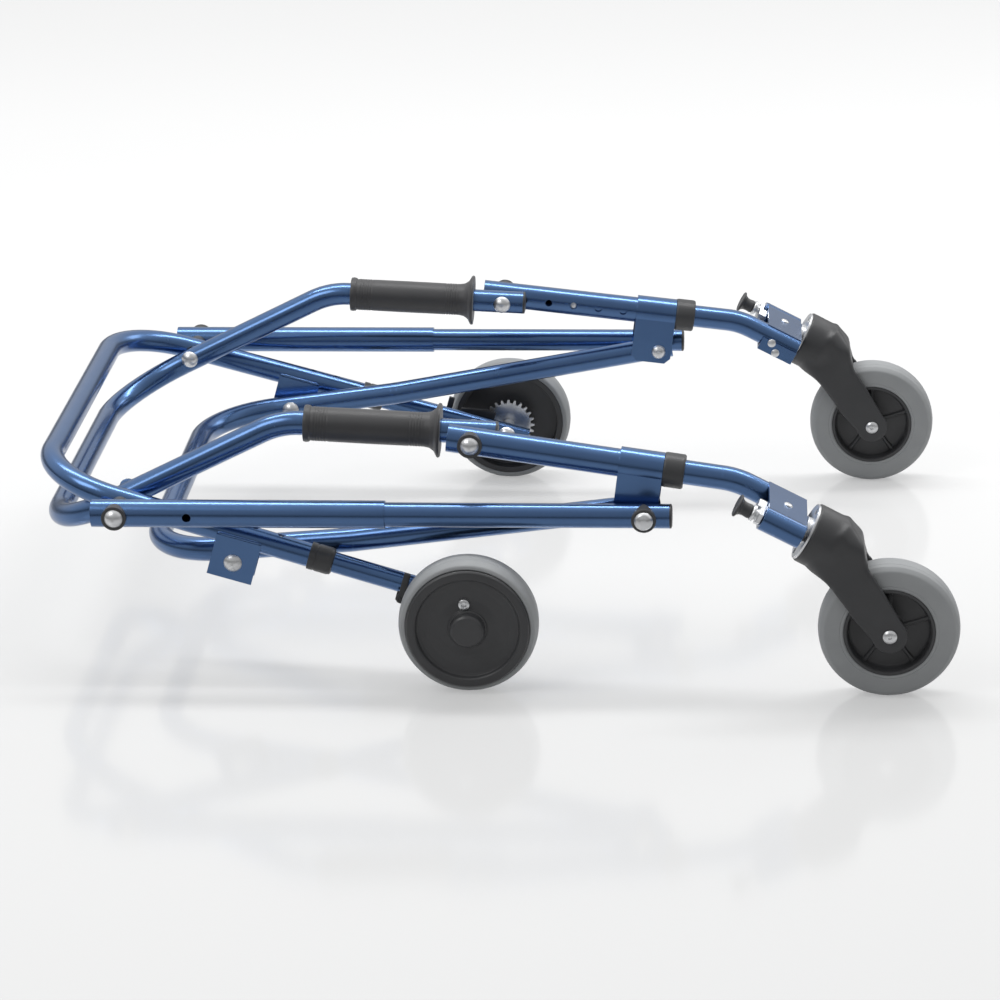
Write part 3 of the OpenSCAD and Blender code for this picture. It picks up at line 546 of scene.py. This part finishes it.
def tyre(rim, axle):
    """Round-shouldered tyre with a flat tread, moulding lines and a bead against the rim."""
    half, r = TYRE_HALF, WHEEL_R
    shoulder = min(5.2, (r - rim) * 0.45)
    deep_wall = r - rim > 12
    bead = [(rim + 1.2, half, 0.9)]
    if deep_wall:
        bead = [(rim + 1.4, half, 0.9), (rim + 2.6, half, 0.5), (rim + 3.2, half - 0.45, 0.3),
                (rim + 3.8, half - 0.05, 0.5)]
    side = [(rim, 15.2, 0.6)] + bead
    side += [(r - shoulder, half - 0.9, 3.5), (r - 1.6, half - 5, 4), (r - 0.45, half - 8.2, 1),
             (r - 0.75, half - 8.6, 0.2), (r - 0.75, half - 8.9, 0.2), (r - 0.35, half - 9.3, 0.5),
             (r, 2, 12)]
    points = side + [(x, -y, f) for x, y, f in reversed(side)]

    def build(bm):
        lathe(bm, rounded(points), place(axle, OUT), closed=True, steps=144)
    return build


def rear_hub(bm):
    """Closed dished disc with a flat outer ring and a domed cap over the axle's end."""
    points = [(0, 11, 0), (4.15, 11, 0), (4.15, -15, 0), (12, -15, 1), (12, -4, 2), (50, -4, 2),
              (50, -15, 0.8), (56, -15, 0.8), (56, 17.4, 0.8), (54.6, 19.2, 1.2), (48.6, 19.6, 1),
              (47.2, 18.6, 0.8), (46.2, 15.4, 1), (43.4, 14.4, 3), (37, 13.6, 16), (27, 13.6, 16),
              (20.5, 14.8, 3), (18.2, 15.2, 0.6), (17.4, 16.6, 0.5), (16.2, 17, 0.6), (15.4, 23.6, 1.8),
              (13.2, 25.6, 1.8), (6, 26, 6), (0, 26, 0)]
    lathe(bm, rounded(points, closed=False, steps=5), place(REAR_AXLE, OUT), steps=144)


def hub_screw(bm):
    """Socket screw in the hub's web, above the axle at rest."""
    at = place(REAR_AXLE + Vector((-2.8, 0, 23.2)), OUT)
    points = [(0, 11.4, 0), (5.2, 11.4, 0), (5.2, 17.0, 0.9), (2.6, 17.8, 0.6), (2.3, 17.2, 0.1),
              (2.2, 15.0, 0.2), (0, 14.7, 0)]
    lathe(bm, rounded(points, closed=False), at, steps=48)


make_pair("rear_tread", tyre(REAR_RIM, REAR_AXLE), TYRE, "rear_wheel", "tyre_rubber", "rear_tyre")
make_pair("rear_disc", rear_hub, HUB, "rear_wheel", "black_plastic", "rear_hub")
make_pair("hub_screw", hub_screw, CHROME, "rear_wheel", "zinc_steel")
make_pair("front_tread", tyre(FRONT_RIM, FRONT_AXLE), TYRE, "front_wheel", "tyre_rubber", "front_tyre")


def front_hub(bm):
    """Barrel, web and rim, with five ribs on both faces."""
    at = place(FRONT_AXLE, OUT)
    side = [(4.2, 16, 0), (9, 16, 1), (13, 14.6, 1.2), (13.4, 4.4, 2.4), (36.6, 4, 3), (37.4, 14.4, 1),
            (38.4, 16, 0.8), (40.4, 16, 0.6), (41, 15.2, 0.5)]
    lathe(bm, rounded(side + [(x, -y, f) for x, y, f in reversed(side)]), at, closed=True, steps=144)
    for k in range(5):
        a = math.radians(18 + 72 * k)
        turn = at @ Matrix.Rotation(a, 4, "Z")
        for face in (-1, 1):
            low, high = 3.6 * face, 6.8 * face
            ring = []
            for x, half, top in ((12.2, 2.1, 1.0), (16, 1.7, 0.92), (28, 1.5, 0.86), (37.2, 2.0, 1.0)):
                crest = low + (high - low) * top
                ring.append([bm.verts.new(turn @ Vector((x, y, z))) for y, z in (
                    (-half - 0.5, low), (-half, crest - 0.8 * face), (-half + 0.7, crest),
                    (half - 0.7, crest), (half, crest - 0.8 * face), (half + 0.5, low))])
            for one, two in zip(ring, ring[1:]):
                for i in range(6):
                    j = (i + 1) % 6
                    bm.faces.new((one[i], one[j], two[j], two[i]))
            bm.faces.new(ring[0])
            bm.faces.new(ring[-1])


make_pair("front_disc", front_hub, HUB, "front_wheel", "black_plastic", "front_hub")


# ------------------------------------------------------------------------ caster pieces


def on_swivel(sideways, down):
    """A place on the swivel line's frame: Z runs down the line, X to the trailing side."""
    return place(CROWN + Vector((0, sideways, 0)) + SWIVEL * down, SWIVEL, TRAIL)


def lock_knob(bm):
    """Pull knob with a wide flange and a waisted neck, on its pin."""
    at = on_swivel(-GUIDE_OUT, BARREL_FROM - KNOB_LEN)
    flange = 10.75
    pin_end = KNOB_LEN - BARREL_FROM - 5.3
    pin = 2.98
    points = [(0, 0.5, 0), (5, 0.4, 2), (flange - 1, 0, 0.8), (flange, 0.9, 0.6),
              (flange - 0.5, 2, 0.7), (8, 3.2, 3), (6.6, 5.4, 2), (6.2, 8.5, 4), (6.6, 12.6, 1),
              (6, 14, 0.8), (pin, 14, 0), (pin, pin_end, 0.4), (0, pin_end, 0)]
    lathe(bm, rounded(points, closed=False), at, steps=64)


def lock_barrel(bm):
    """Guide of the lock pin, ringed like a thread, with its flange and a chamfered hex nut."""
    at = on_swivel(-GUIDE_OUT, BARREL_FROM)
    bore, crest, root = 3.05, 5.5, 4.95
    points = [(bore, 0, 0), (6.6, 0, 0.8), (7.5, 1, 0.6), (7.5, 3.2, 0.7), (root, 4, 0.1)]
    z = 4.4
    while z < 12.5:
        points += [(crest, z, 0.1), (root, z + 0.6, 0.1)]
        z += 1.2
    points += [(crest, 13.2, 0.2), (crest, 34, 0.5), (bore, 34, 0)]
    lathe(bm, rounded(points, steps=2), at, closed=True, steps=72)
    nut = [(crest - 0.1, 6), (7.4, 6), (8.5, 6.7), (8.5, 10.2), (7.4, 10.9), (crest - 0.1, 10.9)]
    lathe(bm, nut, at, closed=True, steps=6)


make_pair("lock_pull", lock_knob, PLASTIC, "lock_knob", "black_plastic", "lock_knob")
make_pair("lock_guide", lock_barrel, CHROME, "front_leg", "zinc_steel", "lock_barrel", smooth_angle=28)


def axle_screw(bm):
    """Axle with a low head at both ends, each with a raised cross."""
    half = 24.5
    inner, outer = -half - 0.5, half + 0.5
    shank = [(0, inner), (SHANK_R, inner), (SHANK_R, outer), (0, outer)]
    lathe(bm, shank, place(FRONT_AXLE, OUT), steps=48)
    for sign in (-1, 1):
        at = place(FRONT_AXLE + OUT * half * sign, OUT * sign)
        dome = [(0, 0, 0), (6.5, 0, 0.3), (6.4, 1.2, 0.6), (4.4, 2.9, 3), (1.6, 3.4, 0.2),
                (1.2, 2.2, 0.3), (0, 2.0, 0)]
        lathe(bm, rounded(dome, closed=False), at, steps=48)
        for k in range(4):
            turn = at @ Matrix.Rotation(math.radians(45 + 90 * k), 4, "Z")
            corners = [(1.2, -0.55), (4.2, -0.3), (4.2, 0.3), (1.2, 0.55)]
            low = [bm.verts.new(turn @ Vector((x, y, 2.6))) for x, y in corners]
            high = []
            for x, y in corners:
                crown = 3.3 - 0.09 * (x - 1.2) ** 2
                high.append(bm.verts.new(turn @ Vector((x, y, crown))))
            bm.faces.new(low)
            bm.faces.new(high)
            for i in range(4):
                j = (i + 1) % 4
                bm.faces.new((low[i], low[j], high[j], high[i]))


make_pair("axle_screw", axle_screw, CHROME, "caster", "zinc_steel", "front_axle")


def bracket_rivet(bm):
    """Small domed rivet on the caster bracket's top sheet."""
    sheet_top = 10.6
    top = on_swivel(12, -27.5).translation - TRAIL * sheet_top
    points = [(0, -1, 0), (4.2, -1, 0), (4.2, 0.5, 0.3), (3.0, 1.5, 1.5), (0, 2.0, 0)]
    lathe(bm, rounded(points, closed=False), place(top, -TRAIL), steps=40)


make_pair("bracket_rivet", bracket_rivet, CHROME, "front_leg", "zinc_steel")


def line(start, end, count):
    return [start.lerp(end, k / (count - 1)) for k in range(count)]


def bracket_welds(bm):
    """Weld beads between the stem housing, the guide tube and their sheets."""
    for sideways, rise in ((-10.3, 8.0), (9.6, 8.2)):
        a = on_swivel(sideways, -45.5).translation - TRAIL * rise
        b = on_swivel(sideways, -9.5).translation - TRAIL * rise
        sweep(bm, line(a, b, 26), 1.3, wobble=0.12)


def channel_welds(bm):
    """Weld beads along both sides of the rear tube, where the link hinge's channel hangs from it."""
    back = rear_point(0) - Vector((LINK_HINGE.x, 0, LINK_HINGE.z))
    run = Vector((REAR_RUN.x, 0, REAR_RUN.z)).normalized()
    middle = rear_point(Vector((back.x, 0, back.z)).dot(run))
    up = Vector((-run.z, 0, run.x))
    for sideways in (-12.2, 12.2):
        foot = middle + Vector((0, sideways, 0)) + up * 1.4
        sweep(bm, line(foot - run * 20.5, foot + run * 20.5, 28), 1.4, wobble=0.12)


make("channel_welds", mirrored(channel_welds), BLUE, "rear_frame", "blue_tube")
make_pair("bracket_welds", bracket_welds, BLUE, "front_leg", "blue_tube")


def bracket_bolts(bm):
    """Two small bolts through the clamp's inner flange and the leg."""
    flange_face = 61.1
    for down, off in ((-36, 3), (-28, 10.6)):
        spot = on_swivel(flange_face, down).translation + TRAIL * off
        pan_head(place(spot, -OUT), 4.2, 2.2, bm)


make_pair("bracket_bolts", bracket_bolts, CHROME, "front_leg", "zinc_steel")


def fork_shoulder(point):
    """Where the fork's crown leans over into its arms."""
    top, bottom = 9, 62
    down = (Vector((point.x, 0, point.z)) - Vector((CROWN.x, 0, CROWN.z))).dot(SWIVEL)
    return top < down < bottom


for end, _ in SIDES:
    moulded(f"fork_{end}", f"caster_fork_{end}", PLASTIC, f"caster_{end}",
            voxel=0.9, rounds=9, keep=0.35, soft=fork_shoulder)
    moulded(f"pawl_guard_{end}", f"pawl_cover_{end}", PLASTIC, f"rear_leg_{end}",
            voxel=0.4, rounds=5, keep=0.3)
    moulded(f"pawl_strap_{end}", f"pawl_lever_{end}", PLASTIC, f"pawl_lever_{end}",
            voxel=0.4, rounds=5, keep=0.3)


# ------------------------------------------------------------------------------- studio


def add_camera():
    """Long-lens camera, aimed by its pitch, yaw and roll."""
    stand = (0.24206, -3.34158, 1.29545)
    data = bpy.data.cameras.new("camera")
    data.sensor_width = 36
    data.lens = 131.63
    data.clip_end = 100
    camera = bpy.data.objects.new("camera", data)
    bpy.context.scene.collection.objects.link(camera)
    pitch, yaw, roll = math.radians(19.998), math.radians(4.195), math.radians(0.953)
    level = Vector((-math.sin(yaw) * math.cos(pitch), math.cos(yaw) * math.cos(pitch), 0))
    forward = level + Vector((0, 0, -math.sin(pitch)))
    right = Vector((math.cos(yaw), math.sin(yaw), 0))
    down = forward.cross(right)
    x = math.cos(roll) * right + math.sin(roll) * down
    y = math.sin(roll) * right - math.cos(roll) * down
    facing = Matrix((x, y, -forward)).transposed().to_4x4()
    camera.matrix_world = Matrix.Translation(stand) @ facing
    bpy.context.scene.camera = camera


def add_floor():
    """Pale glossy floor with painted shade that darkens it towards the camera, part see-through, so that legs that
    swing below it still show.
    """
    solid_share = 0.62
    mat = bpy.data.materials.new("floor")
    mat.use_nodes = True
    t = Tree(mat.node_tree)
    where = t.node("ShaderNodeTexCoord").outputs["Object"]
    away = t.node("ShaderNodeSeparateXYZ", Vector=where).outputs[1]
    depth = t.math("ADD", t.math("MULTIPLY", away, 0.25), 0.3)
    # Painted shade: the floor's colour runs from darker near the camera to lighter far back, standing in for how
    # light falls across the floor
    painted_shade_falloff = t.ramp(depth, [(0.08, 0.66), (0.24, 0.70), (0.36, 0.82), (0.75, 1.0)])
    tone = t.mix(t.math("MULTIPLY", t.noise(where, 0.8), 0.1), painted_shade_falloff, colour(0.66, 0.665, 0.675))
    gloss = t.math("ADD", t.math("MULTIPLY", t.noise(where, 3.0), 0.04), 0.10)
    solid = t.node("ShaderNodeBsdfPrincipled", Base_Color=tone, Roughness=gloss, IOR=2.0)
    clear = t.node("ShaderNodeBsdfTransparent")
    blend = t.node("ShaderNodeMixShader")
    t.feed(blend, "0", solid_share)
    t.feed(blend, "1", clear.outputs[0])
    t.feed(blend, "2", solid.outputs[0])
    t.node("ShaderNodeOutputMaterial", Surface=blend.outputs[0])
    bm = bmesh.new()
    bmesh.ops.create_grid(bm, x_segments=8, y_segments=8, size=30)
    mesh = bpy.data.meshes.new("floor")
    bm.to_mesh(mesh)
    bm.free()
    mesh.materials.append(mat)
    floor = bpy.data.objects.new("floor", mesh)
    bpy.context.scene.collection.objects.link(floor)


def add_world():
    """Bright ceiling that falls off to a dim horizon; the camera itself sees a pale backdrop."""
    world = bpy.data.worlds.new("studio")
    world.use_nodes = True
    bpy.context.scene.world = world
    t = Tree(world.node_tree)
    ray = t.node("ShaderNodeTexCoord").outputs["Generated"]
    height = t.node("ShaderNodeSeparateXYZ", Vector=ray).outputs[2]
    lift = t.math("ADD", t.math("MULTIPLY", height, 0.5), 0.5)
    glow = t.ramp(lift, [(0.0, 0.62), (0.40, 0.55), (0.48, 0.12), (0.53, 0.16), (0.59, 0.72),
                         (0.72, 0.84), (1.0, 1.0)])
    behind = t.node("ShaderNodeSeparateXYZ", Vector=ray).outputs[1]
    depth = t.math("ADD", t.math("MULTIPLY", behind, 0.5), 0.5)
    front_dim = t.ramp(depth, [(0.22, 0.50), (0.60, 1.0)])
    glow = t.math("MULTIPLY", glow, front_dim)
    seen = t.node("ShaderNodeLightPath").outputs["Is Camera Ray"]
    tone = t.mix(seen, glow, colour(0.97, 0.972, 0.975))
    back = t.node("ShaderNodeBackground", Color=tone, Strength=1.0)
    t.node("ShaderNodeOutputWorld", Surface=back.outputs[0])


def add_softbox(name, where, target, size, power):
    """Rectangular lamp that the camera doesn't see."""
    light = bpy.data.lights.new(name, "AREA")
    light.shape = "RECTANGLE"
    light.size, light.size_y = size
    light.energy = power
    lamp = bpy.data.objects.new(name, light)
    bpy.context.scene.collection.objects.link(lamp)
    lamp.matrix_world = place(where, Vector(where) - Vector(target))
    lamp.visible_camera = False


add_camera()
add_floor()
add_world()
add_softbox("top_strip", (0.0, 0.75, 2.6), (0, 0, 0.1), (3.6, 0.32), 46)
add_softbox("key", (-1.8, -1.6, 2.6), (0, 0, 0.1), (1.6, 1.2), 20)
add_softbox("rim", (2.2, 1.8, 1.6), (0, 0, 0.1), (1.4, 1.0), 10)
bpy.context.scene.view_settings.view_transform = "Standard"
